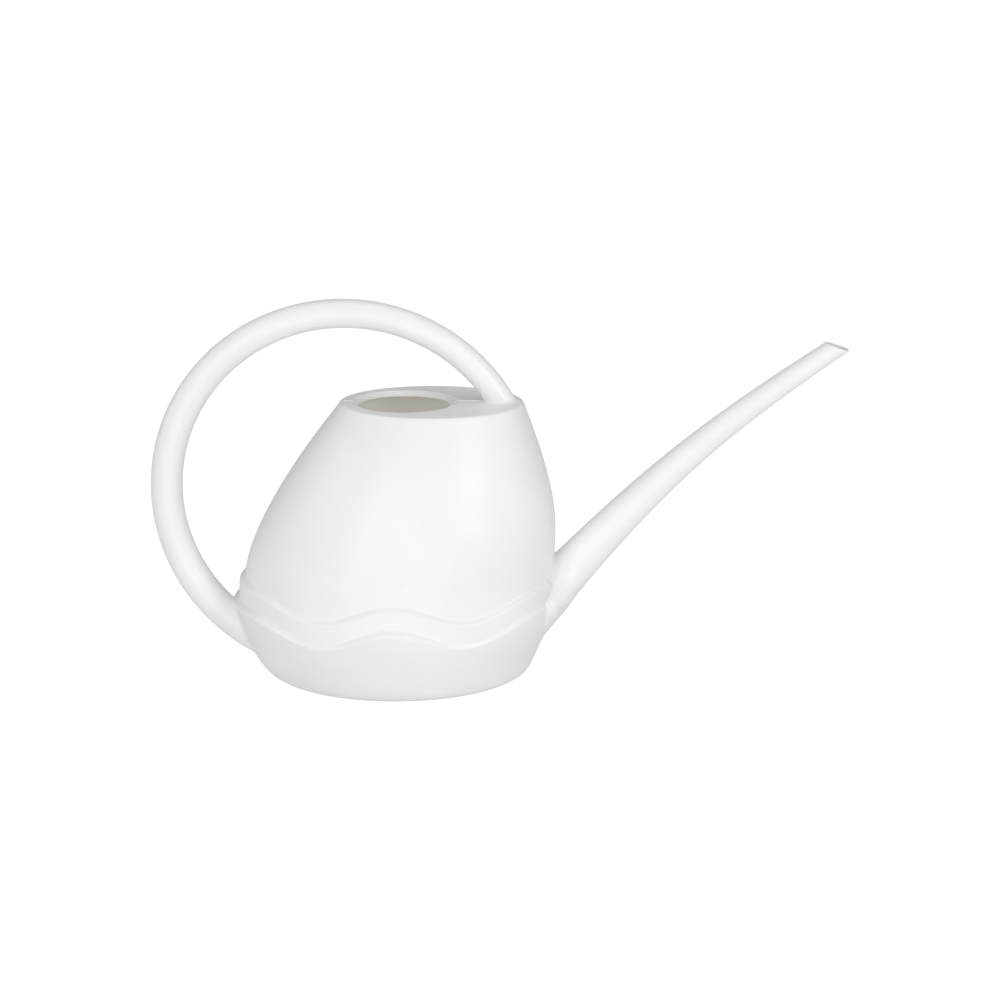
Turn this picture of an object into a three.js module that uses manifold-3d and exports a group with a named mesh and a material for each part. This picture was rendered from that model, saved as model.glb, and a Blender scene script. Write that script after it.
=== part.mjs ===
// A moulded plastic watering can with a hoop handle and a long slim spout, in millimetres.
// +X points along the spout, +Z is up, and the can is symmetric about the plane y = 0.
// The origin is on the floor, below the middle of the can's length.

import * as THREE from 'three';
import { mergeVertices } from 'three/addons/utils/BufferGeometryUtils.js';
import Module from 'manifold-3d';

const wasm = await Module();
wasm.setup();

// ---- Driving dimensions --------------------------------------------------------------------

const GAP = 0.3;            // clearance between neighbouring pieces
const WALL = 2.2;           // wall thickness of the body
const BODY_SIDES = 48;      // facets around the body
const TUBE_SIDES = 16;      // facets around the spout and the handle
const RING_SIDES = 32;      // facets around the mouth

// Rear and front limits of the body's level sections, by height.
const TANK = {
  heights: [30, 76, 104, 132, 160, 184],
  rear: [-169.8, -168.6, -158.2, -142.5, -123.5, -105.2],
  front: [35.6, 38.3, 39.2, 35.0, 26.8, 18.1],
  depthRatio: 0.86,         // depth over length of every level section
  foot: 37,
  top: 180,
};
const BOWL = {
  heights: [0, 3, 10, 26, 41, 54],
  rear: [-151.8, -155.4, -161.6, -169.6, -175.2, -179.6],
  front: [18.2, 21.4, 25.3, 32.5, 38.8, 41.4],
  depthRatio: 0.885,
  footWidth: 9,
  recess: 2.5,
  floor: 5.2,
  wall: 2.6,
  edge: 1.2,                // how far the rounding of its rim reaches inwards
};

// The two wavy steps run round the body as cosine lines along X that climb slightly to the spout.
const WAVE = { crestX: -67.4, length: 100, climb: 0.0075, edge: 2.4 };
const LOWER_WAVE = { middle: 47, swing: 6.6 };
const UPPER_WAVE = { middle: 62.1, swing: 6.1 };
const BAND_STEP = 3.2;      // how far the wave band stands out of the tank

const DECK = { ridge: 185.8, crown: 0.5, rim: 2.4, spigot: 2.7 };
const MOUTH = { x: -61.5, radius: 30.4, collarRadius: 34.7, stepDrop: 0.8, flangeRadius: 38 };
const COLLAR = { lipThickness: 2.2, lipWidth: 2.6, flange: 2 };

const SPOUT = {
  start: [-7.6, 5.8],
  leave: [99, 127.5],
  arrive: [125.5, 155],
  end: [238.2, 231.4],
  mouth: [224.3, 223.1],     // middle of the slanted cut at the tip
  startRadius: 18.8,
  endRadius: 6.5,
  cubicShare: 0.44,         // share of the taper that dies away as a cubic
  flare: 20,                // extra half width of the root where it meets the body
  wallAt: 0.155,            // curve parameter where the axis crosses the body wall
  rootEnd: 0.237,
  lipStart: 0.936,
  wallRoot: 2.2,
  wallTip: 0.9,
  mouthTilt: 18,            // degrees that the cut dips towards the tip
  mouthFlare: 2.2,          // the mouth is this much wider to each side than it is high
  mouthFlareStart: 0.7,
};

const HOOP = {
  x: -101.5,
  z: 125,
  deckRadius: 120.9,        // the arc tightens slightly from the deck to the heel
  heelRadius: 119.1,
  oval: 0.4,                // the arc is this much longer along its long axis, and shorter across it
  ovalAngle: -75,
  deckAngle: 66,            // degrees from the top, towards the spout
  heelAngle: -158,
  deckTube: 9.1,
  heelTube: 11.6,
  wall: 2,
};
const SOCKET = { lip: 1.4, reach: 3.8, deckFloor: 183, heelFloor: 7 };

// ---- Surfaces and solids -------------------------------------------------------------------

const radians = THREE.MathUtils.degToRad;

/** Wraps rows of points, each a closed loop, into one closed surface facing outwards. */
function skin(rows, isRing = false) {
  const count = rows[0].length;
  const points = rows.flat();
  const triangles = [];
  const last = isRing ? rows.length : rows.length - 1;
  for (let row = 0; row < last; row += 1) {
    for (let side = 0; side < count; side += 1) {
      const next = (side + 1) % count;
      const above = (row + 1) % rows.length;
      const corners = [row * count + side, row * count + next, above * count + next, above * count + side];
      triangles.push(corners[0], corners[1], corners[2], corners[0], corners[2], corners[3]);
    }
  }
  if (!isRing) {
    for (const end of [0, rows.length - 1]) {
      const middle = new THREE.Vector3();
      rows[end].forEach((point) => middle.addScaledVector(point, 1 / count));
      points.push(middle);
      for (let side = 0; side < count; side += 1) {
        const edge = [end * count + side, end * count + ((side + 1) % count)];
        triangles.push(points.length - 1, ...(end === 0 ? edge.reverse() : edge));
      }
    }
  }
  const geometry = new THREE.BufferGeometry().setFromPoints(points);
  if (signedVolume(points, triangles) < 0) triangles.reverse();
  geometry.setIndex(triangles);
  return geometry;
}

function signedVolume(points, triangles) {
  let volume = 0;
  const cross = new THREE.Vector3();
  for (let i = 0; i < triangles.length; i += 3) {
    const [a, b, c] = [points[triangles[i]], points[triangles[i + 1]], points[triangles[i + 2]]];
    volume += a.dot(cross.crossVectors(b, c)) / 6;
  }
  return volume;
}

function solid(geometry) {
  const bare = geometry.clone();
  bare.deleteAttribute('normal');
  bare.deleteAttribute('uv');
  const merged = mergeVertices(bare, 1e-4);
  return new wasm.Manifold(new wasm.Mesh({
    numProp: 3,
    vertProperties: merged.attributes.position.array,
    triVerts: Uint32Array.from(merged.index.array),
  }));
}

function surface(manifold) {
  const mesh = manifold.getMesh();
  const geometry = new THREE.BufferGeometry();
  geometry.setAttribute('position', new THREE.BufferAttribute(Float32Array.from(mesh.vertProperties), 3));
  geometry.setIndex(Array.from(mesh.triVerts));
  return geometry;
}

// ---- The body's level sections -------------------------------------------------------------

/** Returns a function of height that gives the rear and front limits and half the depth. */
function profile({ heights, rear, front, depthRatio }) {
  const limits = heights.flatMap((_, i) => [rear[i], front[i]]);
  const curve = new THREE.CubicInterpolant(heights, limits, 2, new Float64Array(2));
  return (height) => {
    const [rearLimit, frontLimit] = curve.evaluate(height);
    const halfDepth = ((frontLimit - rearLimit) / 2) * depthRatio;
    return { rear: rearLimit, front: frontLimit, halfDepth };
  };
}

const tankLimits = profile(TANK);
const bowlLimits = profile(BOWL);

/** One point of an oval level section, grown outwards by an offset. */
function ovalPoint(limits, height, angle, offset) {
  const { rear, front, halfDepth } = limits(height);
  const x = (front + rear) / 2 + ((front - rear) / 2 + offset) * Math.cos(angle);
  const y = (halfDepth + offset) * Math.sin(angle);
  return new THREE.Vector3(x, y, height);
}

function aroundBody(pointAt) {
  return Array.from({ length: BODY_SIDES }, (_, i) => pointAt((2 * Math.PI * i) / BODY_SIDES));
}

const tankRow = (height, offset = 0) => aroundBody((angle) => ovalPoint(tankLimits, height, angle, offset));
const bowlRow = (height, offset = 0) => aroundBody((angle) => ovalPoint(bowlLimits, height, angle, offset));

const tankHeights = [TANK.foot, 76, 92, 108, 124, 142, 162];
const bowlHeights = [0, 1.2, 3, 6, 10, 18, 26, 34];

/** A row that follows a wave line, lifted and grown outwards. */
function wavyRow(limits, { middle, swing }, lift, offset) {
  return aroundBody((angle) => {
    const along = ovalPoint(limits, middle, angle, offset).x - WAVE.crestX;
    const wave = swing * Math.cos((2 * Math.PI * along) / WAVE.length) + WAVE.climb * along;
    return ovalPoint(limits, middle + wave + lift, angle, offset);
  });
}

/** Rows of the rounded edge along a wave line, from the upright wall in to the ledge. */
function wavyEdge(limits, wave, lift, offset, inset = WAVE.edge) {
  return [0, 45, 90].map((degrees) => {
    const drop = WAVE.edge * (1 - Math.sin(radians(degrees)));
    const inward = inset * (1 - Math.cos(radians(degrees)));
    return wavyRow(limits, wave, lift - drop, offset - inward);
  });
}

/** Height of the deck's top, a low ridge along y = 0 that falls to the rims. */
function deckTop(y) {
  const { halfDepth } = tankLimits(DECK.ridge);
  return DECK.ridge - DECK.crown * Math.abs(y / halfDepth) ** 1.4;
}

// ---- Filled envelopes that trim the tubes --------------------------------------------------

function bodyEnvelope(grow) {
  const bowl = solid(skin([
    ...bowlHeights.map((height) => bowlRow(height, grow)),
    ...wavyEdge(bowlLimits, LOWER_WAVE, grow, grow, BOWL.edge),
    wavyRow(tankLimits, LOWER_WAVE, grow, -WALL),
  ]));
  const band = solid(skin([
    tankRow(TANK.foot, BAND_STEP + grow),
    wavyRow(tankLimits, LOWER_WAVE, 0, BAND_STEP + grow),
    ...wavyEdge(tankLimits, UPPER_WAVE, grow, BAND_STEP + grow),
    wavyRow(tankLimits, UPPER_WAVE, grow, -WALL),
  ]));
  const tank = solid(skin([
    ...tankHeights.map((height) => tankRow(height, grow)),
    ...deckRows(grow),
  ]));
  return bowl.add(band).add(tank);
}

/** The deck's rounded rim and crowned top, from the outside in. */
function deckRows(grow) {
  const rimRows = [0, 30, 60, 90].map((degrees) => {
    const inset = DECK.rim * (1 - Math.cos(radians(degrees)));
    const drop = DECK.rim * (1 - Math.sin(radians(degrees)));
    return tankRow(TANK.top + DECK.rim, grow - inset)
      .map((point) => point.setZ(deckTop(point.y) + grow - drop));
  });
  const { rear, front } = tankLimits(TANK.top);
  const centre = (rear + front) / 2;
  const outline = rimRows.at(-1);
  const inner = [0.75, 0.5, 0.25].map((share) => outline.map((point) => {
    const y = point.y * share;
    return new THREE.Vector3(centre + (point.x - centre) * share, y, deckTop(y) + grow);
  }));
  return [...rimRows, ...inner];
}

// ---- Tubes that follow a curve in the plane y = 0 ------------------------------------------

/**
 * Rows across a tube, with facets that touch the round tube from outside. Half widths in the plane
 * and across it come from widthsAt.
 */
function tubeRows(curve, widthsAt, from, to, steps) {
  const around = 1 / Math.cos(Math.PI / TUBE_SIDES);
  return Array.from({ length: steps + 1 }, (_, i) => {
    const t = from + ((to - from) * i) / steps;
    const centre = curve.getPoint(t);
    const along = curve.getTangent(t);
    const [inPlane, across] = widthsAt(t).map((width) => width * around);
    return Array.from({ length: TUBE_SIDES }, (_, side) => {
      const angle = (2 * Math.PI * (side + 0.5)) / TUBE_SIDES;
      const rise = inPlane * Math.cos(angle);
      return new THREE.Vector3(centre.x - along.y * rise, across * Math.sin(angle), centre.y + along.x * rise);
    });
  });
}

const spoutCurve = new THREE.CubicBezierCurve(
  new THREE.Vector2(...SPOUT.start),
  new THREE.Vector2(...SPOUT.leave),
  new THREE.Vector2(...SPOUT.arrive),
  new THREE.Vector2(...SPOUT.end),
);

/** Half widths of the spout: a round taper that flares sideways at the body, and a little at the mouth. */
function spoutWidths(t, inset = 0) {
  const left = 1 - t;
  const taper = (1 - SPOUT.cubicShare) * left + SPOUT.cubicShare * left ** 3;
  const radius = SPOUT.endRadius + (SPOUT.startRadius - SPOUT.endRadius) * taper;
  const foot = THREE.MathUtils.clamp((SPOUT.rootEnd - t) / (SPOUT.rootEnd - SPOUT.wallAt), 0, 1);
  const tip = THREE.MathUtils.clamp((t - SPOUT.mouthFlareStart) / (1 - SPOUT.mouthFlareStart), 0, 1);
  const halfWidth = radius + SPOUT.flare * foot ** 2 + SPOUT.mouthFlare * tip;
  return [radius - inset, halfWidth - inset];
}

const spoutWall = (t) => THREE.MathUtils.lerp(SPOUT.wallRoot, SPOUT.wallTip, t);

function spoutPart(from, to, steps) {
  const outer = solid(skin(tubeRows(spoutCurve, (t) => spoutWidths(t), from, to, steps)));
  return outer.subtract(spoutBore(from - 0.02, Math.min(to + 0.02, 1), steps));
}

function spoutBore(from, to, steps) {
  return solid(skin(tubeRows(spoutCurve, (t) => spoutWidths(t, spoutWall(t)), from, to, steps)));
}

/** The handle's arc, from its deck end over the top and round to its heel. */
class HoopCurve extends THREE.Curve {
  getPoint(t) {
    const angle = radians(THREE.MathUtils.lerp(HOOP.deckAngle, HOOP.heelAngle, t));
    const oval = HOOP.oval * Math.cos(2 * (angle - radians(HOOP.ovalAngle)));
    const radius = THREE.MathUtils.lerp(HOOP.deckRadius, HOOP.heelRadius, t) + oval;
    return new THREE.Vector2(HOOP.x + radius * Math.sin(angle), HOOP.z + radius * Math.cos(angle));
  }
}

const hoopCurve = new HoopCurve();

function hoopSolid(grow, from = 0, to = 1, steps = 36) {
  const widths = (t) => {
    const radius = THREE.MathUtils.lerp(HOOP.deckTube, HOOP.heelTube, t ** 1.3) + grow;
    return [radius, radius];
  };
  return solid(skin(tubeRows(hoopCurve, widths, from, to, steps)));
}

// ---- Pieces of the body --------------------------------------------------------------------

/** The tall dome-shaped wall, open at its foot and at the deck. */
function tankShell() {
  const heights = [...tankHeights, TANK.top];
  const outside = heights.map((height) => tankRow(height));
  const inside = heights.map((height) => tankRow(height, -WALL)).reverse();
  return solid(skin([...outside, ...inside], true)).subtract(wallBore);
}

/** The crowned lid of the body, with a rounded rim, a locating spigot and the round mouth hole. */
function topDeck() {
  const seat = TANK.top + GAP;
  const spigotOut = -WALL - GAP;
  const spigotIn = spigotOut - WALL;
  const ring = (offset, height) => tankRow(TANK.top, offset).map((point) => point.setZ(height));
  const plate = solid(skin([
    ring(spigotIn, seat),
    ring(spigotIn, seat - DECK.spigot),
    ring(spigotOut, seat - DECK.spigot),
    ring(spigotOut, seat),
    ring(0, seat),
    ...deckRows(0),
  ]));
  const hole = new THREE.CylinderGeometry(MOUTH.collarRadius + GAP, MOUTH.collarRadius + GAP, 20, RING_SIDES);
  hole.rotateX(Math.PI / 2);
  hole.translate(MOUTH.x, 0, TANK.top);
  return plate.subtract(solid(hole));
}

/** The stepped collar in the deck: two treads down to the mouth, and a flange under the deck. */
function fillerRing() {
  const { radius, collarRadius, stepDrop, flangeRadius } = MOUTH;
  const tread = (collarRadius - radius) / 3;
  const top = DECK.ridge - stepDrop / 2;
  const flangeTop = TANK.top;
  const lipFoot = top - 2 * stepDrop - COLLAR.lipThickness;
  const outline = [
    [radius, lipFoot],
    [radius + COLLAR.lipWidth, lipFoot],
    [radius + COLLAR.lipWidth, flangeTop - COLLAR.flange],
    [flangeRadius, flangeTop - COLLAR.flange],
    [flangeRadius, flangeTop],
    [collarRadius, flangeTop],
    [collarRadius, top],
    [collarRadius - tread, top],
    [collarRadius - tread - 0.3, top - stepDrop],
    [collarRadius - 2 * tread, top - stepDrop],
    [collarRadius - 2 * tread - 0.3, top - 2 * stepDrop],
    [radius + 0.4, top - 2 * stepDrop],
    [radius, top - 2 * stepDrop - 0.4],
    [radius, lipFoot],
  ];
  const lathe = new THREE.LatheGeometry(outline.map(([r, z]) => new THREE.Vector2(r, z)), RING_SIDES);
  lathe.rotateX(Math.PI / 2);
  const place = lathe.attributes.position;
  for (let i = 0; i < place.count; i += 1) {
    const height = place.getZ(i);
    const follow = height > flangeTop + 1 ? deckTop(place.getY(i)) - DECK.ridge : 0;
    place.setXYZ(i, place.getX(i) + MOUTH.x, place.getY(i), height + follow);
  }
  return solid(lathe);
}

/** The raised band between the two wave lines. */
function waveBand() {
  const rows = [
    wavyRow(tankLimits, LOWER_WAVE, GAP, GAP),
    wavyRow(tankLimits, LOWER_WAVE, GAP, BAND_STEP),
    ...wavyEdge(tankLimits, UPPER_WAVE, 0, BAND_STEP),
    wavyRow(tankLimits, UPPER_WAVE, 0, GAP),
  ];
  return solid(skin(rows, true)).subtract(wallBore);
}

/** The bottom bowl: foot ring, raised underside, rounded wall and wavy rim. */
function baseBowl() {
  const ledge = TANK.foot - GAP;
  const ledgeRow = (offset) => tankRow(ledge, offset);
  const atHeight = (row, height) => row.map((point) => point.setZ(height));
  const rows = [
    atHeight(bowlRow(0, -BOWL.footWidth - 2), BOWL.recess),
    bowlRow(0, -BOWL.footWidth),
    ...bowlHeights.map((height) => bowlRow(height)),
    ...wavyEdge(bowlLimits, LOWER_WAVE, 0, 0, BOWL.edge),
    wavyRow(tankLimits, LOWER_WAVE, 0, BAND_STEP - 2 * GAP),
    wavyRow(tankLimits, LOWER_WAVE, 0, GAP),
    ledgeRow(GAP),
    ledgeRow(-WALL),
    ...[28, 18, 10].map((height) => bowlRow(height, -BOWL.wall)),
    bowlRow(6.5, -BOWL.wall - 1),
    atHeight(bowlRow(0, -BOWL.wall), BOWL.floor),
  ];
  return solid(skin(rows)).subtract(wallBore);
}

// ---- Pieces of the spout -------------------------------------------------------------------

/** The flared foot of the spout, shaped to lie against the body. */
function spoutRoot() {
  return spoutPart(0.06, SPOUT.rootEnd, 8).subtract(bodyOutside);
}

/** The long tapered pipe between the root and the lip. */
function spoutTube() {
  return spoutPart(SPOUT.rootEnd + splitGap, SPOUT.lipStart, 14);
}

/** The thin pouring lip, with its mouth cut at a slant. */
function spoutLip() {
  const reach = 40;
  const cutter = new THREE.BoxGeometry(reach, reach, reach);
  cutter.translate(0, 0, reach / 2);
  cutter.rotateY(radians(SPOUT.mouthTilt));
  cutter.translate(SPOUT.mouth[0], 0, SPOUT.mouth[1]);
  return spoutPart(SPOUT.lipStart + splitGap, 1, 2).subtract(solid(cutter));
}

// ---- Pieces of the handle ------------------------------------------------------------------

/** The hollow hoop, trimmed where it lands on the deck and on the bowl. */
function handleHoop() {
  return hoopSolid(0).subtract(hoopSolid(-HOOP.wall)).subtract(bodyOutside);
}

/** A low stepped collar in the corner between the hoop and the body. */
function handleSocket(from, to, floor) {
  const tall = bodyEnvelope(SOCKET.reach).intersect(hoopSolid(SOCKET.lip, from, to, 6));
  const wide = bodyEnvelope(SOCKET.lip).intersect(hoopSolid(SOCKET.reach, from, to, 6));
  const below = new THREE.BoxGeometry(3 * HOOP.deckRadius, HOOP.deckRadius, 2 * floor);
  below.translate(HOOP.x, 0, 0);
  return tall.add(wide).subtract(bodyOutside).subtract(hoopSolid(GAP)).subtract(solid(below));
}

// ---- Assembly ------------------------------------------------------------------------------

const splitGap = GAP / spoutCurve.getLength();
const bodyOutside = bodyEnvelope(GAP);
const wallBore = spoutBore(0.055, SPOUT.rootEnd, 8);

const body = { color: 0xf1f3f2, roughness: 0.55 };
const deck = { color: 0xeceeed, roughness: 0.5 };
const smooth = { color: 0xf3f4f4, roughness: 0.32 };

const can = new THREE.Group();

function addPiece(name, manifold, { color, roughness }) {
  const material = new THREE.MeshStandardMaterial({ color, roughness, metalness: 0 });
  const mesh = new THREE.Mesh(surface(manifold), material);
  mesh.name = name;
  can.add(mesh);
}

addPiece('base_bowl', baseBowl(), body);
addPiece('wave_band', waveBand(), body);
addPiece('tank_shell', tankShell(), body);
addPiece('top_deck', topDeck(), deck);
addPiece('filler_ring', fillerRing(), deck);
addPiece('spout_root', spoutRoot(), smooth);
addPiece('spout_tube', spoutTube(), smooth);
addPiece('spout_lip', spoutLip(), smooth);
addPiece('handle_hoop', handleHoop(), smooth);
addPiece('handle_deck_socket', handleSocket(0, 0.14, SOCKET.deckFloor), smooth);
addPiece('handle_heel_socket', handleSocket(0.86, 1, SOCKET.heelFloor), smooth);

export default can;
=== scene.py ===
import math

import bpy
import numpy as np
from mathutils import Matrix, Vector
from mathutils.bvhtree import BVHTree


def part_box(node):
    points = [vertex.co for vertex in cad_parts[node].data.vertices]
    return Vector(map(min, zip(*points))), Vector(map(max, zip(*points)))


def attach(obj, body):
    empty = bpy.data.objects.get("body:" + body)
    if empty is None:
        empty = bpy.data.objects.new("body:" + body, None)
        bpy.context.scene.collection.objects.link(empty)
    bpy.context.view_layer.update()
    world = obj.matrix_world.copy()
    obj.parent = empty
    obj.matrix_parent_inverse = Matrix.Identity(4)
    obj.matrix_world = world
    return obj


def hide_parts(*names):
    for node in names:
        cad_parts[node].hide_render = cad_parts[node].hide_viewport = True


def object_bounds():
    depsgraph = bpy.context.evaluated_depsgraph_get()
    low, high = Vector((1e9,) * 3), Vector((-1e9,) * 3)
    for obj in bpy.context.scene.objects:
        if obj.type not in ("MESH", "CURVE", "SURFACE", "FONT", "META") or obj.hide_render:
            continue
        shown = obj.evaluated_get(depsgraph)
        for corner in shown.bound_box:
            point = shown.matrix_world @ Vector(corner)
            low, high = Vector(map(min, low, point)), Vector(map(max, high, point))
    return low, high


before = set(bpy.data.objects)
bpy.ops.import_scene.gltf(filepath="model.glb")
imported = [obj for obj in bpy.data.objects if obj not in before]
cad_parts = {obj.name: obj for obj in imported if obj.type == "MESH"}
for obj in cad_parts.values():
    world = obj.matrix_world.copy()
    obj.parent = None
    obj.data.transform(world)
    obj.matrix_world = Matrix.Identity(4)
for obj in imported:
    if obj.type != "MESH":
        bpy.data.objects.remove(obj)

CAD_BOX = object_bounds()

# A white moulded plastic watering can. Shapes are worked out in millimetres, in the frame's own
# axes: +X towards the spout's tip, +Z up, symmetric about y = 0. Meshes are scaled to metres last.

MM = 0.001


def node_box(name):
    """Lowest and highest corner of a CAD node, in millimetres."""
    low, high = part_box(name)
    return np.array(low) / MM, np.array(high) / MM


# ---- Driving dimensions -----------------------------------------------------------------------

COLUMNS = 480           # points around the body
FRONT_CROWDING = 0.4    # how much closer together the points lie at the spout's side
SEAM_CROWDING = 0.2     # and at both ends of the can, along the moulding line
TANK_DEPTH = 0.86       # depth over length of the tank's level sections
BOWL_DEPTH = 0.883      # and of the bowl's
WALL = 2.2

# the tank's and the bowl's outlines from the side: heights, and x at the rear and at the front
TANK_HEIGHTS = [30, 76, 104, 132, 160, 184]
TANK_REAR = [-169.8, -168.6, -158.2, -142.5, -123.5, -105.2]
TANK_FRONT = [35.6, 38.3, 39.2, 35.0, 26.8, 18.1]
BOWL_HEIGHTS = [0, 3, 10, 26, 41, 54]
BOWL_REAR = [-151.8, -155.4, -161.6, -169.6, -175.2, -179.4]
BOWL_FRONT = [18.2, 21.4, 25.3, 32.5, 38.8, 41.4]

BOWL_WALL = 2.6
BOWL_FLOOR = 5.2        # height of the floor inside
BOWL_FLOOR_ROUND = 6    # rounding of the corner inside
BOWL_PLAIN = 35         # up to this height the bowl's rows lie level
FOOT_WIDTH = 9
FOOT_RECESS = 2.5       # height of the raised underside
FOOT_ROUND = 3
CENTRE_INSET = 80       # inset of the innermost rows, past the bowl's middle line, where they cross over

WAVE_CREST = -67.4      # the wavy steps are cosine lines along X that climb slightly to the spout
WAVE_LENGTH = 100
WAVE_CLIMB = 0.0075
LOWER_WAVE = (47.0, 6.6)    # middle height and swing
UPPER_WAVE = (62.1, 6.1)
STEP_HEIGHT = 3.4       # each step runs down in a soft S this high
BAND_STEP = 3.2         # how far the band stands out of the tank
BAND_END_ROUND = 2.2    # rounding of the band where it stops at the spout
BAND_ROOT = 0.3         # how deep the band's hidden side lies in the tank's wall
BAND_LAP = 0.2          # how far above the bowl's rim line the band starts
RIM_TUCK = 0.3          # how far the bowl's rim ends behind the band's face
TANK_GAP = 0.4          # room between the bowl's rim and the tank's wall behind it

TANK_FOOT = node_box("tank_shell")[0][2]
DECK_RIDGE = node_box("top_deck")[1][2]
RIM_START = DECK_RIDGE - 3.6
RIM_SECTION = DECK_RIDGE - 1.8
RIM_INSET = 2.2
RIM_EASE = 1.8          # how early the rim starts to bend on to the deck
DECK_FALL = 0.5         # the deck falls this much from its middle line to its edges
DECK_REACH = 45         # how far in from its rim the deck is laid out for the handle to land on
SEAM_WIDTH = 0.9        # half width of the moulding line on the deck
SEAM_HEIGHT = 0.6
TUBE_SEAM = 0.12        # height of the moulding line on the spout and the handle

RING_LOW, RING_HIGH = node_box("filler_ring")
MOUTH_X = (RING_LOW[0] + RING_HIGH[0]) / 2
FLANGE_RADIUS = (RING_HIGH[0] - RING_LOW[0]) / 2
MOUTH_RADIUS = 0.8 * FLANGE_RADIUS
COLLAR_RADIUS = MOUTH_RADIUS + 4.3
COLLAR_DROP = 0.85      # height of each of its two stairs
RISER_WIDTH = 0.8
COLLAR_LAP = 0.25       # how far the collar reaches under the deck
HOLE_EDGE = 0.3         # rounding of the deck's edge around the collar

SPOUT_START = [-7.6, 5.8]   # x and z of the spout's curve, a cubic with two knots between its ends
SPOUT_LEAVE = [99.0, 127.5]
SPOUT_ARRIVE = [125.5, 155.0]
SPOUT_END = [238.2, 231.4]
SPOUT_MOUTH = [224.3, 223.1]    # a point on the slanted cut
MOUTH_TILT = math.radians(18)
SPOUT_FOOT_RADIUS = 18.8
SPOUT_TIP_RADIUS = 6.5
CUBIC_SHARE = 0.44      # share of the taper that is used up early along the curve
FLARE = 20              # the foot is this much wider to each side than it is high
FLARE_WALL = 0.155      # curve parameter at the body's wall, up to which the flare is full
FLARE_END = 0.237       # curve parameter at which it has run out
TIP_FLARE = 2.2         # the mouth is this much wider to each side than it is high
TIP_FLARE_START = 0.7   # curve parameter from which the pipe widens to it
SPOUT_WALL_FOOT = 2.2
SPOUT_WALL_TIP = 0.9
SPOUT_FILLET = 2.2
SPOUT_SINK = 1.4        # how deep its fillet lies in the bowl, so that it meets it in a plain line
SPOUT_SETTLED = 0.33    # curve parameter from which all generators keep step
SPOUT_TIP_RUN = 0.88    # curve parameter from which they spread out to the slanted mouth

HOOP_X = -101.5
HOOP_Z = 125
HOOP_DECK_RADIUS = 120.66
HOOP_HEEL_RADIUS = 118.94
HOOP_OVAL = 0.4         # the arc is this much longer along its long axis
HOOP_OVAL_ANGLE = -75
HOOP_DECK_ANGLE = 66
HOOP_HEEL_ANGLE = -158
HOOP_DECK_TUBE = 9.1    # half thickness of the hoop at its ends
HOOP_HEEL_TUBE = 11.6
HOOP_SWELL = 1.3        # above 1, the hoop thickens more towards its heel
HOOP_DECK_FILLET = 3.0
HOOP_HEEL_FILLET = 3.8
HOOP_FREE = (0.14, 0.8)     # curve parameters between which all generators keep step

SPOUT_SEARCH = (0.4, 0.04)  # curve parameters between which a tube is followed to its landing
BORE_SEARCH = (0.4, 0.02)
DECK_SEARCH = (0.12, 0.0)
HEEL_SEARCH = (0.8, 1.0)

TUBE_COLUMNS = 96       # points around the spout and the handle
LANDING_DIPS = [(0.8, 0.6), (0.25, 0.15), (0, -0.03)]   # distance past a fillet, and depth there
LANDING_LEGS = 120      # steps in which a generator is followed to its landing
NO_FILLET = 0.0001
ROW_STEP = 3.2          # height between the tank's outer rows
SHARP_ANGLE = math.radians(50)

CAMERA_PLACE = (0.002, -1.7161, 0.5543)     # in metres
CAMERA_DIP = 14.27      # degrees below the horizon
LENS = 95
SENSOR = 36
LIGHT_AIM_X = -0.05     # in metres
LIGHT_DISTANCE = 1.7
BOUNCE_DISTANCE = 0.16  # the bounce light lies just below the floor
INSIDE_LAMP_HEIGHT = 90     # in millimetres
INSIDE_LAMP_COLOUR = (1, 0.92, 0.82)
INSIDE_LAMP_POWER = 0.046
INSIDE_LAMP_SIZE = 0.03
WORLD_COLOUR = (1, 0.995, 0.97, 1)
WORLD_STRENGTH = 0.393
FLOOR_RADIUS = 30       # in metres
SURROUND_RADIUS = 29
FLOOR_DROP = 0.0002     # keeps the floor clear of the foot ring

# ---- Curves and level sections ------------------------------------------------------------------

def smooth_curve(knots, values):
    """A function through the values whose slope and curvature are continuous."""
    knots = np.array(knots, float)
    values = np.array(values, float)
    step = np.diff(knots)
    count = len(knots)
    matrix = np.eye(count)
    right = np.zeros(count)
    for i in range(1, count - 1):
        matrix[i, i - 1:i + 2] = [step[i - 1], 2 * (step[i - 1] + step[i]), step[i]]
        rise = np.diff(values)[i - 1:i + 1] / step[i - 1:i + 1]
        right[i] = 6 * (rise[1] - rise[0])
    bend = np.linalg.solve(matrix, right)

    def curve(at):
        at = np.clip(at, knots[0], knots[-1])
        i = np.clip(np.searchsorted(knots, at, side="right") - 1, 0, count - 2)
        p = (at - knots[i]) / step[i]
        q = 1 - p
        cubic = (q ** 3 - q) * bend[i] + (p ** 3 - p) * bend[i + 1]
        return q * values[i] + p * values[i + 1] + cubic * step[i] ** 2 / 6

    return curve


class Oval:
    """The body's level sections: ovals whose rear and front limits change with height."""

    def __init__(self, heights, rear, front, depth_ratio):
        self.depth_ratio = depth_ratio
        self.rear = smooth_curve(heights, rear)
        self.front = smooth_curve(heights, front)

    def row(self, angles, height, offset=0.0):
        rear = self.rear(height)
        front = self.front(height)
        half = (front - rear) / 2
        x = (front + rear) / 2 + (half + offset) * np.cos(angles)
        y = (half * self.depth_ratio + offset) * np.sin(angles)
        return np.stack([x, y, height + 0 * x], axis=-1)

    def wavy_row(self, angles, wave, lift=0.0, offset=0.0):
        """A row that follows a wave line, lifted and grown outwards."""
        middle, swing = wave
        along = self.row(angles, middle, offset)[:, 0] - WAVE_CREST
        height = middle + swing * np.cos(2 * math.pi * along / WAVE_LENGTH) + WAVE_CLIMB * along
        return self.row(angles, height + lift, offset)


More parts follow.
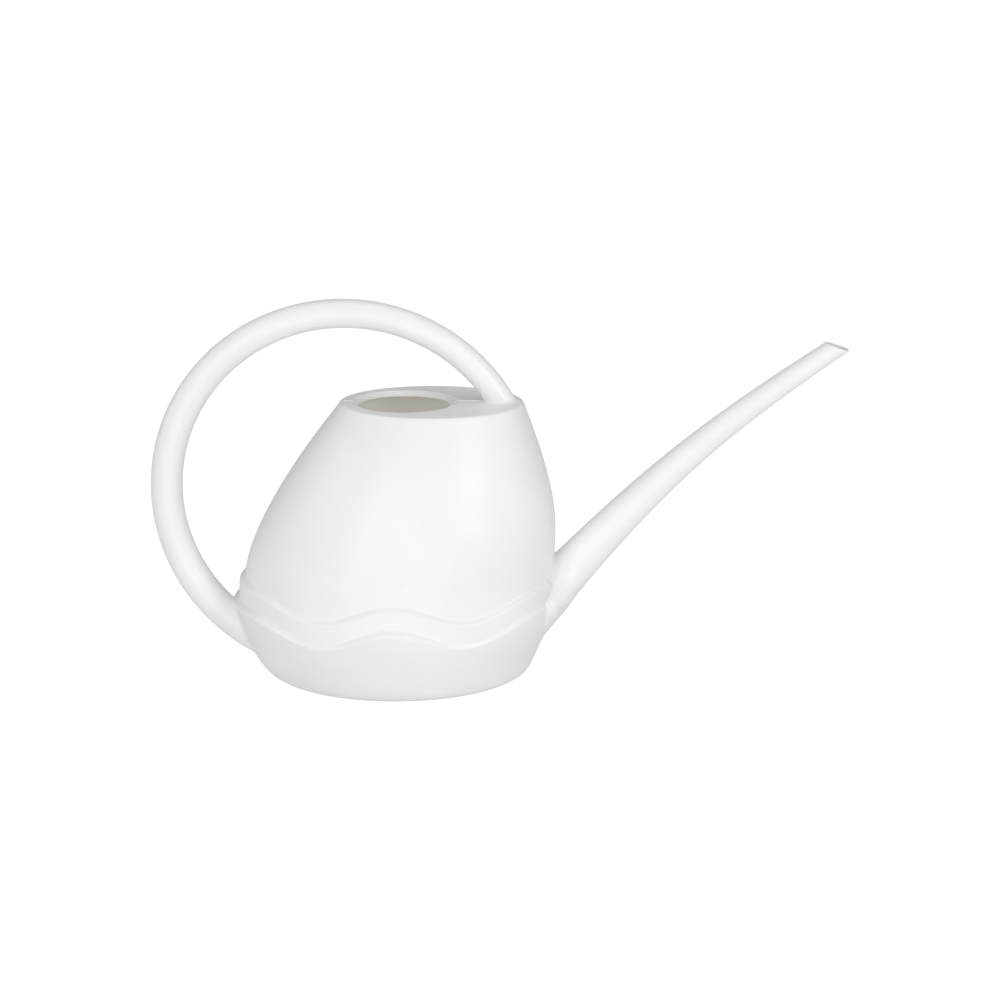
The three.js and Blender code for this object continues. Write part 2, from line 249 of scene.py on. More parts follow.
TANK = Oval(TANK_HEIGHTS, TANK_REAR, TANK_FRONT, TANK_DEPTH)
BOWL = Oval(BOWL_HEIGHTS, BOWL_REAR, BOWL_FRONT, BOWL_DEPTH)


def body_angles():
    """Angles around the body, from the rear over the front, closer together near the spout."""
    turn = np.linspace(-math.pi, math.pi, COLUMNS, endpoint=False)
    return turn - FRONT_CROWDING * np.sin(turn) - SEAM_CROWDING * np.sin(2 * turn)


ANGLES = body_angles()


def at_height(row, height):
    moved = row.copy()
    moved[:, 2] = height
    return moved


def bezier(points, count):
    """Points along a Bezier curve of rows, from the second one to the last."""
    degree = len(points) - 1
    rows = []
    for t in np.linspace(0, 1, count + 1)[1:]:
        weights = [math.comb(degree, k) * t ** k * (1 - t) ** (degree - k) for k in range(degree + 1)]
        rows.append(sum(weight * point for weight, point in zip(weights, points)))
    return rows


def quarter(count, from_degrees=0, to_degrees=90):
    """Cosine and sine pairs along an arc."""
    angles = np.radians(np.linspace(from_degrees, to_degrees, count + 1))
    return list(zip(np.cos(angles), np.sin(angles)))


# ---- Mesh building ------------------------------------------------------------------------------

def grid_faces(rows, columns, is_ring):
    """Quads between neighbouring rows, each row a closed loop."""
    row = np.arange(rows if is_ring else rows - 1)[:, None]
    column = np.arange(columns)[None, :]
    above = (row + 1) % rows
    after = (column + 1) % columns
    near = row * columns
    far = above * columns
    corners = [near + column, near + after, far + after, far + column]
    return np.stack([np.broadcast_to(c, (len(row), columns)) for c in corners], axis=-1).reshape(-1, 4)


def make_piece(name, rows, material, nodes, is_ring=False):
    """A smooth closed mesh from rows of points, which stands for CAD nodes."""
    stack = np.array(rows)
    count, columns = stack.shape[:2]
    points = stack.reshape(-1, 3)
    faces = grid_faces(count, columns, is_ring).tolist()
    if not is_ring:
        middles = [stack[0].mean(axis=0), stack[-1].mean(axis=0)]
        base = len(points)
        points = np.vstack([points, middles])
        last = (count - 1) * columns
        for i in range(columns):
            after = (i + 1) % columns
            faces.append([base, after, i])
            faces.append([base + 1, last + i, last + after])
    mesh = bpy.data.meshes.new(name)
    mesh.from_pydata((points * MM).tolist(), [], faces)
    mesh.validate()
    mesh.update()
    if signed_volume(mesh) < 0:
        mesh.flip_normals()
    mesh.shade_smooth()
    piece = bpy.data.objects.new(name, mesh)
    bpy.context.scene.collection.objects.link(piece)
    if material is not None:
        mesh.materials.append(material)
    if nodes:
        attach(piece, "root")
        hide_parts(*nodes)
    return piece


def signed_volume(mesh):
    mesh.calc_loop_triangles()
    corners = np.empty(len(mesh.loop_triangles) * 3, np.int32)
    mesh.loop_triangles.foreach_get("vertices", corners)
    points = np.empty(len(mesh.vertices) * 3, np.float32)
    mesh.vertices.foreach_get("co", points)
    a, b, c = points.reshape(-1, 3)[corners.reshape(-1, 3)].astype(float).transpose(1, 0, 2)
    return float(np.einsum("ij,ij->i", a, np.cross(b, c)).sum() / 6)


def surface_tree(rows):
    """A search tree over a surface, to find where a tube lands on it."""
    stack = np.array(rows)
    faces = grid_faces(len(stack), stack.shape[1], False).tolist()
    return BVHTree.FromPolygons(stack.reshape(-1, 3).tolist(), faces)


# ---- The spout's and the handle's outer surfaces ------------------------------------------------

def unit(vectors):
    return vectors / np.linalg.norm(vectors, axis=-1, keepdims=True)


def tube_points(centre, along, in_plane, across, sides, seam):
    """Points on a tube in the plane y = 0, with a moulding line of some height on two sides.

    The sides are angles around it, 0 on its upper side.
    """
    rise = in_plane * np.cos(sides)
    rise = rise + seam * np.sign(rise) * (np.abs(np.sin(sides)) < 1e-6)
    x = centre[..., 0] - along[..., 1] * rise
    z = centre[..., 1] + along[..., 0] * rise
    return np.stack([x, across * np.sin(sides), z], axis=-1)


def spout_axis(t):
    """Centre and direction of the spout's cubic curve."""
    t = np.asarray(t, float)[..., None]
    knots = [np.array(p, float) for p in (SPOUT_START, SPOUT_LEAVE, SPOUT_ARRIVE, SPOUT_END)]
    u = 1 - t
    centre = u ** 3 * knots[0] + 3 * u * u * t * knots[1] + 3 * u * t * t * knots[2] + t ** 3 * knots[3]
    first, second, third = (b - a for a, b in zip(knots, knots[1:]))
    along = u * u * first + 2 * u * t * second + t * t * third
    return centre, unit(along)


def spout_radius(t):
    left = 1 - t
    taper = (1 - CUBIC_SHARE) * left + CUBIC_SHARE * left ** 3
    return SPOUT_TIP_RADIUS + (SPOUT_FOOT_RADIUS - SPOUT_TIP_RADIUS) * taper


def spout_flare(t):
    """How much wider than high the spout is, at its foot and a little at its mouth."""
    foot = FLARE * np.clip((FLARE_END - t) / (FLARE_END - FLARE_WALL), 0, 1) ** 2
    mouth = TIP_FLARE * np.clip((t - TIP_FLARE_START) / (1 - TIP_FLARE_START), 0, 1)
    return foot + mouth


def spout_point(t, sides, inset=0.0):
    """Points on the spout's skin, or inside it by an inset, which may differ from side to side."""
    centre, along = spout_axis(t)
    radius = spout_radius(t) - inset
    seam = TUBE_SEAM if np.all(np.asarray(inset) == 0) else 0
    return tube_points(centre, along, radius, radius + spout_flare(t), sides, seam)


def spout_wall(t):
    return SPOUT_WALL_FOOT + (SPOUT_WALL_TIP - SPOUT_WALL_FOOT) * t


def bore_point(t, sides):
    return spout_point(t, sides, spout_wall(t))


def hoop_point(t, sides):
    """Points on the handle's skin, from its deck end over the top and round to its heel."""
    t = np.asarray(t, float)
    angle = np.radians(HOOP_DECK_ANGLE + (HOOP_HEEL_ANGLE - HOOP_DECK_ANGLE) * t)
    oval = HOOP_OVAL * np.cos(2 * (angle - math.radians(HOOP_OVAL_ANGLE)))
    radius = HOOP_DECK_RADIUS + (HOOP_HEEL_RADIUS - HOOP_DECK_RADIUS) * t + oval
    centre = np.stack([HOOP_X + radius * np.sin(angle), HOOP_Z + radius * np.cos(angle)], axis=-1)
    along = np.stack([-np.cos(angle), np.sin(angle)], axis=-1)
    tube = HOOP_DECK_TUBE + (HOOP_HEEL_TUBE - HOOP_DECK_TUBE) * np.clip(t, 0, 1) ** HOOP_SWELL
    return tube_points(centre, along, -tube, tube, sides, TUBE_SEAM)


SIDES = np.linspace(0, 2 * math.pi, TUBE_COLUMNS, endpoint=False)


def landing(tree, point_at, search, fillet, steps=8):
    """Rows of a fillet where a tube lands on a surface, from under the surface up to the tube.

    Each generator of the tube is followed between two curve parameters until it crosses the surface.
    The fillet starts its own size up the tube, ends as far out on the surface, and dips under it.
    """
    low_rows = np.empty((len(LANDING_DIPS), len(SIDES), 3))
    ts = np.linspace(*search, LANDING_LEGS)
    on_tube = np.empty((len(SIDES), 3))
    crossing = np.empty((len(SIDES), 3))
    t_tube = np.empty(len(SIDES))
    for j, side in enumerate(SIDES):
        line = point_at(ts, np.full(len(ts), side))
        hit = None
        for k in range(len(ts) - 1):
            start = Vector(line[k])
            leg = Vector(line[k + 1]) - start
            place, normal, _, distance = tree.ray_cast(start, leg, leg.length)
            if place is not None:
                hit = (k + distance / leg.length, place, normal, leg.normalized())
                break
        if hit is None:
            raise RuntimeError(f"side {j} of a tube never reaches the surface")
        steps_in, place, normal, inward = hit
        if normal.dot(inward) > 0:
            normal = -normal
        t_hit = ts[0] + (ts[1] - ts[0]) * steps_in
        speed = (Vector(line[1]) - Vector(line[0])).length / (ts[1] - ts[0])
        t_tube[j] = t_hit - fillet / speed
        on_tube[j] = point_at(t_tube[j], side)
        crossing[j] = place
        mid_line = point_at(np.array([t_hit, t_hit]), np.array([side, side + math.pi]))
        out = Vector(mid_line[0] - mid_line[1])
        out = (out - normal * out.dot(normal)).normalized()
        for i, (reach, depth) in enumerate(LANDING_DIPS):
            foot, foot_normal, _, _ = tree.find_nearest(place + out * (fillet + reach))
            if foot_normal.dot(normal) < 0:
                foot_normal = -foot_normal
            low_rows[i, j] = foot - foot_normal * depth
    rows = bezier([on_tube, crossing, low_rows[-1]], steps)[::-1]
    return [*low_rows[:-1], *rows, on_tube], t_tube


def blend_rows(point_at, t_start, t_end, count):
    """Rows between two ends that may be given side by side, without the end rows."""
    rows = []
    for share in np.linspace(0, 1, count + 1)[1:-1]:
        rows.append(point_at(t_start + (t_end - t_start) * share, SIDES))
    return rows


def evened(ts, reach=6):
    """Curve parameters just past a ragged landing that change smoothly from side to side."""
    past = np.max([np.roll(ts, shift) for shift in range(-reach, reach + 1)], axis=0)
    return np.mean([np.roll(past, shift) for shift in range(-reach, reach + 1)], axis=0)


# ---- The body's pieces --------------------------------------------------------------------------

def deck_top(y):
    half_depth = (TANK.front(RIM_SECTION) - TANK.rear(RIM_SECTION)) / 2 * TANK_DEPTH
    return DECK_RIDGE - DECK_FALL * np.abs(y) / half_depth


def on_deck(row, drop=0.0):
    moved = row.copy()
    moved[:, 2] = deck_top(moved[:, 1]) - drop
    return moved


def mouth_row(radius, drop, angles=ANGLES):
    row = np.stack([MOUTH_X + radius * np.cos(angles), radius * np.sin(angles), 0 * angles], axis=-1)
    return on_deck(row, drop)


def raise_seam(row):
    """Lifts the thin line where the two mould halves met."""
    raised = row.copy()
    raised[:, 2] += SEAM_HEIGHT * np.clip(1 - np.abs(row[:, 1]) / SEAM_WIDTH, 0, 1)
    return raised


def spout_clearance(points):
    """Rough distance of points outside the spout's skin."""
    ts = np.linspace(0.08, 0.3, 111)
    centre, along = spout_axis(ts)
    flat = points[:, None, :]
    dx = flat[..., 0] - centre[None, :, 0]
    dz = flat[..., 2] - centre[None, :, 1]
    lengthwise = dx * along[None, :, 0] + dz * along[None, :, 1]
    best = np.argmin(np.abs(lengthwise), axis=1)
    pick = np.arange(len(points))
    rise = (dz * along[None, :, 0] - dx * along[None, :, 1])[pick, best]
    radius = spout_radius(ts)[best]
    across = radius + spout_flare(ts)[best]
    share = np.hypot(rise / radius, points[:, 1] / across)
    reach = np.hypot(rise, points[:, 1])
    return reach * (1 - 1 / np.maximum(share, 1e-6))


def band_row(wave, lift, offset):
    """A row of the band, which rounds down into the tank's wall at the spout."""
    full = TANK.wavy_row(ANGLES, wave, lift, BAND_STEP)
    clear = np.clip(spout_clearance(full) / BAND_END_ROUND, 0, 1)
    share = np.sqrt(1 - (1 - clear) ** 2)
    return TANK.wavy_row(ANGLES, wave, lift, offset * share - BAND_ROOT * (1 - share))


def between(low, high, share):
    """A wave line between two others, given by its share of the way up."""
    return tuple(a + (b - a) * share for a, b in zip(low, high))


def step_shares(count=10):
    """Points down a soft S: height from its middle as a share of the step, and how far it has come out."""
    down = np.linspace(0, 1, count + 1)
    return [(share - 0.5, 1 - share ** 2 * (3 - 2 * share)) for share in down]


def bowl_outside():
    """The bowl's rounded wall, up to where its wavy rim has run in to the band."""
    rows = [BOWL.row(ANGLES, height) for height in np.arange(5, BOWL_PLAIN + 1, 2.5)]
    high = BOWL.wavy_row(ANGLES, LOWER_WAVE, -STEP_HEIGHT / 2)[:, 2]
    for share in np.linspace(0, 1, 8)[1:-1]:
        rows.append(BOWL.row(ANGLES, BOWL_PLAIN + (high - BOWL_PLAIN) * share))
    for height, out in step_shares():
        wall = BOWL.wavy_row(ANGLES, LOWER_WAVE, STEP_HEIGHT * height)
        band_face = TANK.wavy_row(ANGLES, LOWER_WAVE, STEP_HEIGHT * height, BAND_STEP)
        rows.append(band_face + (wall - band_face) * out)
    return rows


def base_bowl(material):
    """The bottom bowl: foot ring, raised underside, rounded wall and wavy rim."""
    # the raised underside, from its middle out
    insets = (CENTRE_INSET, CENTRE_INSET / 2, FOOT_ROUND)
    rows = [at_height(BOWL.row(ANGLES, 0, -FOOT_WIDTH - inset), FOOT_RECESS) for inset in insets]
    rows += bezier([
        at_height(BOWL.row(ANGLES, 0, -FOOT_WIDTH - FOOT_ROUND), FOOT_RECESS),
        at_height(BOWL.row(ANGLES, 0, -FOOT_WIDTH), FOOT_RECESS),
        at_height(BOWL.row(ANGLES, 0, -FOOT_WIDTH + 0.6), 0.1),
        BOWL.row(ANGLES, 0, -FOOT_WIDTH + 2),
    ], 6)
    # the foot ring and its rounded outer edge
    rows += [BOWL.row(ANGLES, 0, -inset) for inset in (5, FOOT_ROUND)]
    rows += bezier([
        BOWL.row(ANGLES, 0, -FOOT_ROUND),
        BOWL.row(ANGLES, 0, -0.8),
        BOWL.row(ANGLES, 3.2),
    ], 6)
    rows += bowl_outside()
    # the rim, hidden behind the band, and the wall and floor inside
    rows.append(TANK.wavy_row(ANGLES, LOWER_WAVE, STEP_HEIGHT / 2, BAND_STEP - RIM_TUCK))
    rows.append(TANK.wavy_row(ANGLES, LOWER_WAVE, 0, TANK_GAP))
    rows += [TANK.row(ANGLES, TANK_FOOT - 0.5, offset) for offset in (TANK_GAP, -WALL)]
    rows += [BOWL.row(ANGLES, height, -BOWL_WALL) for height in (30, 24, 18, 13, 9)]
    rows += bezier([
        BOWL.row(ANGLES, 9, -BOWL_WALL),
        at_height(BOWL.row(ANGLES, 4, -BOWL_WALL), BOWL_FLOOR),
        at_height(BOWL.row(ANGLES, 4, -BOWL_WALL - BOWL_FLOOR_ROUND), BOWL_FLOOR),
    ], 6)
    for inset in (30, 60, CENTRE_INSET):
        rows.append(at_height(BOWL.row(ANGLES, 4, -inset), BOWL_FLOOR))
    return make_piece("bowl", rows, material, ["base_bowl"])


def wave_band(material):
    """The raised band between the two wave lines, with rounded ends at the spout."""
    rows = [band_row(LOWER_WAVE, BAND_LAP, -BAND_ROOT)]
    rows += [band_row(LOWER_WAVE, BAND_LAP + lift, BAND_STEP) for lift in (0, 1)]
    for share in np.linspace(0.1, 0.8, 9):
        rows.append(band_row(between(LOWER_WAVE, UPPER_WAVE, share), 0, BAND_STEP))
    for height, out in step_shares():
        rows.append(band_row(UPPER_WAVE, STEP_HEIGHT * height, BAND_STEP * out))
    rows.append(band_row(UPPER_WAVE, STEP_HEIGHT / 2 + 0.3, -BAND_ROOT))
    sections = np.array(rows).transpose(1, 0, 2)
    first, last = band_ends()
    around = [sections[(last + i) % COLUMNS] for i in range(COLUMNS - last + first + 1)]
    return make_piece("band", around, material, ["wave_band"])


def band_ends():
    """The columns at which the band has sunk into the wall on either side of the spout."""
    middle = TANK.wavy_row(ANGLES, between(LOWER_WAVE, UPPER_WAVE, 0.5), 0, BAND_STEP)
    inside = np.flatnonzero(spout_clearance(middle) < -BAND_ROOT)
    return inside[0], inside[-1]


def rim_rows():
    """The rounded rim, from the tank's wall on to the deck."""
    start = TANK.row(ANGLES, RIM_START)
    below = TANK.row(ANGLES, RIM_START - 0.5)
    climb = unit(start - below) * RIM_INSET
    edge = on_deck(TANK.row(ANGLES, RIM_SECTION, -RIM_INSET))
    lead = on_deck(TANK.row(ANGLES, RIM_SECTION, -RIM_INSET + RIM_EASE))
    return bezier([start, start + climb, lead, edge], 9)


def tank_outside():
    heights = list(np.arange(TANK_FOOT, RIM_START - 2, ROW_STEP)) + [RIM_START]
    return [TANK.row(ANGLES, height) for height in heights] + rim_rows()


def deck_rows(outline, inner, count):
    """Rows over the flat deck from its outline in to another row."""
    return [outline + (inner - outline) * share for share in np.linspace(0, 1, count + 1)[1:]]


def tank_and_deck(material):
    """The dome-shaped wall and the deck, one wall thick, open at the foot and at the mouth."""
    rows = tank_outside()
    flat = deck_rows(rows[-1], mouth_row(COLLAR_RADIUS + HOLE_EDGE, 0), 12)
    rows += [raise_seam(on_deck(row)) for row in flat]
    # the rounded edge of the hole, and the underside
    for inset, rise in quarter(3)[1:]:
        rows.append(mouth_row(COLLAR_RADIUS + HOLE_EDGE * (1 - rise), HOLE_EDGE * (1 - inset)))
    rows.append(mouth_row(COLLAR_RADIUS, WALL))
    under = TANK.row(ANGLES, RIM_SECTION, -RIM_INSET - WALL)
    rows.append(on_deck(under, WALL))
    rows += bezier([
        on_deck(under, WALL),
        on_deck(TANK.row(ANGLES, RIM_SECTION, -WALL), WALL),
        TANK.row(ANGLES, RIM_START - 3, -WALL),
    ], 4)
    rows += [TANK.row(ANGLES, height, -WALL) for height in np.arange(170, TANK_FOOT + 4, -7)]
    rows.append(TANK.row(ANGLES, TANK_FOOT, -WALL))
    return make_piece("tank", rows, material, ["tank_shell", "top_deck"], is_ring=True)


def stair(radius, high, low):
    """Rows of a riser, a soft S that runs inwards from one tread down to the next."""
    rows = []
    for share in np.linspace(0, 1, 8):
        drop = high + (low - high) * share ** 2 * (3 - 2 * share)
        rows.append(mouth_row(radius - RISER_WIDTH * share, drop))
    return rows


def filler_collar(material):
    """The stepped collar around the mouth, one wall thick."""
    inner = (COLLAR_RADIUS + MOUTH_RADIUS) / 2
    rows = [mouth_row(COLLAR_RADIUS + COLLAR_LAP, HOLE_EDGE)]
    rows += stair(COLLAR_RADIUS, HOLE_EDGE, COLLAR_DROP)
    rows += stair(inner + RISER_WIDTH / 2, COLLAR_DROP, 2 * COLLAR_DROP)
    stair_rows = len(rows)
    # the rounded lip, and the flange under the deck
    lip = WALL / 2 - 0.2
    for outward, rise in quarter(8, 0, 180):
        rows.append(mouth_row(MOUTH_RADIUS + lip * (1 - rise), 2 * COLLAR_DROP + lip * (1 - outward)))
    under = 2 * COLLAR_DROP + 2 * lip
    rows += [mouth_row(radius, under) for radius in (inner, COLLAR_RADIUS, FLANGE_RADIUS)]
    rows += [mouth_row(radius, WALL + 0.2) for radius in (FLANGE_RADIUS, COLLAR_RADIUS + COLLAR_LAP)]
    rows[1:stair_rows] = [raise_seam(row) for row in rows[1:stair_rows]]
    return make_piece("filler_collar", rows, material, ["filler_ring"], is_ring=True)


# ---- The spout ----------------------------------------------------------------------------------

def tip_parameter(point_at, back):
    """Curve parameter at which each generator meets the slanted cut, moved back by a distance."""
    normal = np.array([math.sin(MOUTH_TILT), math.cos(MOUTH_TILT)])
    low = np.full(len(SIDES), SPOUT_TIP_RUN)
    high = np.full(len(SIDES), 1.03)
    for _ in range(40):
        middle = (low + high) / 2
        point = point_at(middle, SIDES)
        beyond = (point[:, [0, 2]] - SPOUT_MOUTH) @ normal + back > 0
        high = np.where(beyond, middle, high)
        low = np.where(beyond, low, middle)
    return low


def spout(material):
    """The spout: a filleted foot, a tapered pipe and a thin slanted mouth, hollow all through."""
    # the surfaces that it lands on, outside and inside
    bowl_wall = [BOWL.row(ANGLES, height, -SPOUT_SINK) for height in np.arange(4, 44, 3)]
    bowl_wall.append(BOWL.wavy_row(ANGLES, LOWER_WAVE, 0, -SPOUT_SINK))
    tank_wall = [TANK.wavy_row(ANGLES, LOWER_WAVE, lift) for lift in np.arange(0, 90, 3)]
    inner_wall = [TANK.row(ANGLES, height, -WALL) for height in np.arange(4, 150, 3)]
    rows, t_foot = landing(surface_tree(bowl_wall + tank_wall), spout_point, SPOUT_SEARCH, SPOUT_FILLET)
    # the pipe, from its foot to the slanted cut
    t_even = evened(t_foot)
    rows.append(spout_point(t_even, SIDES))
    rows += blend_rows(spout_point, t_even, SPOUT_SETTLED, 40)
    lip = SPOUT_WALL_TIP / 2
    t_tip = tip_parameter(spout_point, lip)
    rows += [spout_point(t, SIDES) for t in np.linspace(SPOUT_SETTLED, SPOUT_TIP_RUN, 50)]
    rows += blend_rows(spout_point, SPOUT_TIP_RUN, t_tip, 8)
    # the rounded lip, and the bore back to the tank
    t_bore_tip = tip_parameter(bore_point, lip)
    outer = spout_point(t_tip, SIDES)
    inner = bore_point(t_bore_tip, SIDES)
    middle = (outer + inner) / 2
    up = np.array([math.sin(MOUTH_TILT), 0, math.cos(MOUTH_TILT)])
    for outward, rise in quarter(8, 0, 180):
        rows.append(middle + (outer - middle) * outward + up * lip * rise)
    rows += blend_rows(bore_point, t_bore_tip, SPOUT_TIP_RUN, 4)
    rows += [bore_point(t, SIDES) for t in np.linspace(SPOUT_TIP_RUN, SPOUT_SETTLED, 24)]
    bore_rows, t_bore = landing(surface_tree(inner_wall), bore_point, BORE_SEARCH, NO_FILLET)
    rows += blend_rows(bore_point, SPOUT_SETTLED, t_bore, 10)
    rows.append(bore_rows[-1])
    return make_piece("spout", rows, material, ["spout_root", "spout_tube", "spout_lip"],
                      is_ring=True)


def pierce(pieces):
    """Cuts the water's way to the spout through the walls behind its foot."""
    rows = [spout_point(t, SIDES, spout_wall(t) - 0.4) for t in np.linspace(0.06, 0.24, 16)]
    cutter = make_piece("cutter", rows, None, [])
    for piece in pieces:
        cut = piece.modifiers.new("water_way", "BOOLEAN")
        cut.object = cutter
        cut.operation = "DIFFERENCE"
        cut.solver = "EXACT"
        depsgraph = bpy.context.evaluated_depsgraph_get()
        pierced = bpy.data.meshes.new_from_object(piece.evaluated_get(depsgraph))
        pierced.set_sharp_from_angle(angle=SHARP_ANGLE)
        piece.modifiers.clear()
        piece.data = pierced
    bpy.data.objects.remove(cutter)


# ---- The handle ---------------------------------------------------------------------------------

def handle(material):
    """The hoop, run into the deck and the bowl with fillets."""
    wall = tank_outside()
    centre = on_deck(TANK.row(ANGLES, RIM_SECTION, -DECK_REACH))
    deck_tree = surface_tree(wall + [on_deck(row) for row in deck_rows(wall[-1], centre, 12)])
    band = [TANK.wavy_row(ANGLES, between(LOWER_WAVE, UPPER_WAVE, share), 0, BAND_STEP)
            for share in np.linspace(0.05, 1, 6)]
    heel_tree = surface_tree([BOWL.row(ANGLES, 0), *bowl_outside(), *band])
    free_from, free_to = HOOP_FREE
    rows, t_deck = landing(deck_tree, hoop_point, DECK_SEARCH, HOOP_DECK_FILLET)
    heel_rows, t_heel = landing(heel_tree, hoop_point, HEEL_SEARCH, HOOP_HEEL_FILLET)
    rows += blend_rows(hoop_point, t_deck, free_from, 10)
    rows += [hoop_point(t, SIDES) for t in np.linspace(free_from, free_to, 130)]
    rows += blend_rows(hoop_point, free_to, t_heel, 16)
    rows += heel_rows[::-1]
    return make_piece("handle", rows, material,
                      ["handle_hoop", "handle_deck_socket", "handle_heel_socket"])


# ---- Materials ----------------------------------------------------------------------------------

CLOUD_SIZE = 38         # sizes and depths in millimetres
CLOUD_SHADE = 0.97
SPECK_SPACING = 14
SPECK_DEPTH = 0.01
DUST_COLOUR = (0.62, 0.6, 0.56, 1)
# colour of the painted highlight on the convex edges
EDGE_HIGHLIGHT_COLOUR = (0.93, 0.93, 0.92, 1)
HANDLED_SIZE = 14
HANDLED_SPREAD = 0.06   # how far the roughness strays to either side
SWELL_SIZE = 26
SWELL_DEPTH = 0.12


def plastic(name, colour, roughness, grain, grain_depth):
    """White moulded plastic with grain, specks, handling marks, and a painted highlight: its convex edges
    are painted lighter.
    """
    material = bpy.data.materials.new(name)
    material.use_nodes = True
    nodes = material.node_tree.nodes
    links = material.node_tree.links
    shader = nodes["Principled BSDF"]
    place = nodes.new("ShaderNodeTexCoord")

    def noise(size_mm, detail=2.0):
        texture = nodes.new("ShaderNodeTexNoise")
        texture.inputs["Scale"].default_value = 1 / (size_mm * MM)
        texture.inputs["Detail"].default_value = detail
        links.new(place.outputs["Object"], texture.inputs["Vector"])
        return texture.outputs["Fac"]

    def remap(value, from_low, from_high, to_low, to_high):
        node = nodes.new("ShaderNodeMapRange")
        limits = {"From Min": from_low, "From Max": from_high, "To Min": to_low, "To Max": to_high}
        for key, limit in limits.items():
            node.inputs[key].default_value = limit
        links.new(value, node.inputs["Value"])
        return node.outputs["Result"]

    def blend(factor, first, second):
        node = nodes.new("ShaderNodeMix")
        node.data_type = "RGBA"
        links.new(factor, node.inputs["Factor"])
        links.new(first, node.inputs["A"])
        node.inputs["B"].default_value = second
        return node.outputs["Result"]

    def bump(height, depth_mm, under=None):
        node = nodes.new("ShaderNodeBump")
        node.inputs["Strength"].default_value = 1
        node.inputs["Distance"].default_value = depth_mm * MM
        links.new(height, node.inputs["Height"])
        if under is not None:
            links.new(under, node.inputs["Normal"])
        return node.outputs["Normal"]

    # clouds of a slightly darker tone
    tone = nodes.new("ShaderNodeValToRGB")
    tone.color_ramp.elements[0].position = 0.3
    tone.color_ramp.elements[1].position = 0.7
    tone.color_ramp.elements[0].color = [c * CLOUD_SHADE for c in colour] + [1]
    tone.color_ramp.elements[1].color = [*colour, 1]
    links.new(noise(CLOUD_SIZE, 3), tone.inputs["Fac"])

    # specks of dust, and a painted highlight: the convex edges are painted a little lighter
    specks = nodes.new("ShaderNodeTexVoronoi")
    specks.inputs["Scale"].default_value = 1 / (SPECK_SPACING * MM)
    links.new(place.outputs["Object"], specks.inputs["Vector"])
    speck = remap(specks.outputs["Distance"], 0.02, 0.04, 0.5, 0)
    dust = blend(speck, tone.outputs["Color"], DUST_COLOUR)
    edges = nodes.new("ShaderNodeNewGeometry")
    # pointiness picks out the convex edges, which get the painted highlight
    painted_edge_highlight = remap(edges.outputs["Pointiness"], 0.52, 0.6, 0, 0.5)
    links.new(blend(painted_edge_highlight, dust, EDGE_HIGHLIGHT_COLOUR), shader.inputs["Base Color"])

    # patches rubbed smoother or duller by hands
    smoothest = roughness - HANDLED_SPREAD
    dullest = roughness + HANDLED_SPREAD
    handled = remap(noise(HANDLED_SIZE, 3), 0.3, 0.7, smoothest, dullest)
    links.new(handled, shader.inputs["Roughness"])

    # slow swells of the wall, and the fine grain of the mould on top of them
    wavy = bump(noise(SWELL_SIZE, 1), SWELL_DEPTH)
    grained = bump(noise(grain, 2), grain_depth, wavy)
    links.new(bump(specks.outputs["Distance"], SPECK_DEPTH, grained), shader.inputs["Normal"])
    return material


# ---- Floor, light and camera --------------------------------------------------------------------

def glow(name, strength, diffuse):
    """A white material with some light of its own."""
    material = bpy.data.materials.new(name)
    material.use_nodes = True
    shader = material.node_tree.nodes["Principled BSDF"]
    shader.inputs["Base Color"].default_value = (diffuse, diffuse, diffuse, 1)
    shader.inputs["Roughness"].default_value = 1
    shader.inputs["Specular IOR Level"].default_value = 0
    shader.inputs["Emission Color"].default_value = (1, 1, 1, 1)
    shader.inputs["Emission Strength"].default_value = strength
    return material


def studio():
    """A plain white floor that runs on into a plain white surround."""
    bpy.ops.mesh.primitive_circle_add(vertices=128, radius=FLOOR_RADIUS, fill_type="NGON")
    floor = bpy.context.object
    floor.location.z = -FLOOR_DROP
    floor.name = "floor"
    floor.data.materials.append(glow("floor_white", strength=0.9, diffuse=0.35))
    bpy.ops.mesh.primitive_uv_sphere_add(segments=64, ring_count=32, radius=SURROUND_RADIUS)
    surround = bpy.context.object
    surround.name = "surround"
    surround.data.materials.append(glow("surround_white", strength=1.1, diffuse=0))
    for piece in (floor, surround):
        piece.visible_diffuse = False
        piece.visible_glossy = False
        piece.visible_transmission = False
        piece.visible_shadow = False

    world = bpy.data.worlds.new("studio")
    bpy.context.scene.world = world
    world.use_nodes = True
    background = world.node_tree.nodes["Background"]
    background.inputs["Color"].default_value = WORLD_COLOUR
    background.inputs["Strength"].default_value = WORLD_STRENGTH


def softbox(name, azimuth, elevation, width, height, power, distance=LIGHT_DISTANCE):
    """A rectangular light that faces the tank. Azimuth 0 is in front of the can."""
    aim = (CAD_BOX[0] + CAD_BOX[1]) / 2
    aim.x = LIGHT_AIM_X
    turn = math.radians(azimuth)
    lift = math.radians(elevation)
    away = Vector((math.sin(turn) * math.cos(lift), -math.cos(turn) * math.cos(lift), math.sin(lift)))
    light = bpy.data.lights.new(name, "AREA")
    light.shape = "RECTANGLE"
    light.size = width
    light.size_y = height
    light.energy = power
    lamp = bpy.data.objects.new(name, light)
    lamp.location = aim + away * distance
    lamp.rotation_mode = "QUATERNION"
    lamp.rotation_quaternion = (-away).to_track_quat("-Z", "Y")
    lamp.visible_camera = False
    bpy.context.scene.collection.objects.link(lamp)


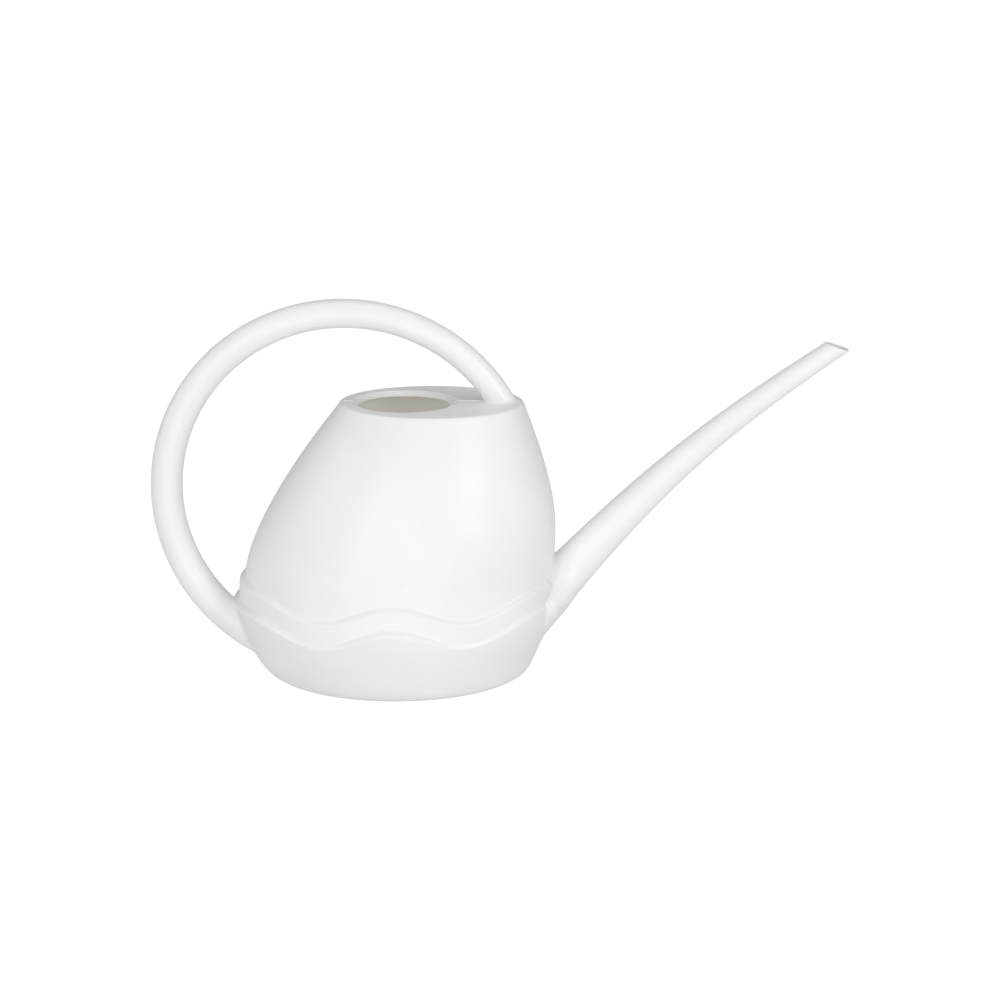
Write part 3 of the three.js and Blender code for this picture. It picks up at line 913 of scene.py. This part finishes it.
def lights():
    """Soft boxes around the can, and a small warm lamp for what shines through the tank's walls."""
    # name, azimuth and elevation in degrees, width and height in metres, and power
    softbox("front", -3, 14, 1.4, 1.0, 3.6)
    softbox("front_left", -30, 15, 0.6, 1.0, 4.6)
    softbox("front_low", 0, -12, 1.4, 0.6, 4.1)
    softbox("key", 43, 20, 0.5, 0.6, 6.3)
    softbox("top", 0, 82, 1.2, 1.2, 4.6)
    softbox("left", -88, 20, 0.8, 1.0, 2.6)
    softbox("right", 82, 8, 0.6, 1.0, 2.3)
    softbox("bounce", 0, -89.9, 3.0, 3.0, 6.5, BOUNCE_DISTANCE)

    inside = bpy.data.lights.new("inside", "POINT")
    inside.energy = INSIDE_LAMP_POWER
    inside.color = INSIDE_LAMP_COLOUR
    inside.shadow_soft_size = INSIDE_LAMP_SIZE
    lamp = bpy.data.objects.new("inside", inside)
    lamp.location = Vector((MOUTH_X, 0, INSIDE_LAMP_HEIGHT)) * MM
    lamp.visible_camera = False
    bpy.context.scene.collection.objects.link(lamp)


def camera():
    data = bpy.data.cameras.new("camera")
    data.lens = LENS
    data.sensor_width = SENSOR
    eye = bpy.data.objects.new("camera", data)
    eye.location = CAMERA_PLACE
    eye.rotation_euler = (math.radians(90 - CAMERA_DIP), 0, 0)
    bpy.context.scene.collection.objects.link(eye)
    bpy.context.scene.camera = eye


# ---- Assembly -----------------------------------------------------------------------------------

body_plastic = plastic(
    "body_plastic", colour=(0.867, 0.878, 0.87), roughness=0.4, grain=0.9, grain_depth=0.02)
deck_plastic = plastic(
    "deck_plastic", colour=(0.87, 0.87, 0.85), roughness=0.45, grain=0.9, grain_depth=0.02)
smooth_plastic = plastic(
    "smooth_plastic", colour=(0.875, 0.884, 0.876), roughness=0.345, grain=1.4, grain_depth=0.006)

bowl = base_bowl(body_plastic)
wave_band(body_plastic)
tank = tank_and_deck(body_plastic)
filler_collar(deck_plastic)
spout(smooth_plastic)
handle(smooth_plastic)
pierce([bowl, tank])

studio()
lights()
camera()
bpy.context.scene.view_settings.view_transform = "Standard"
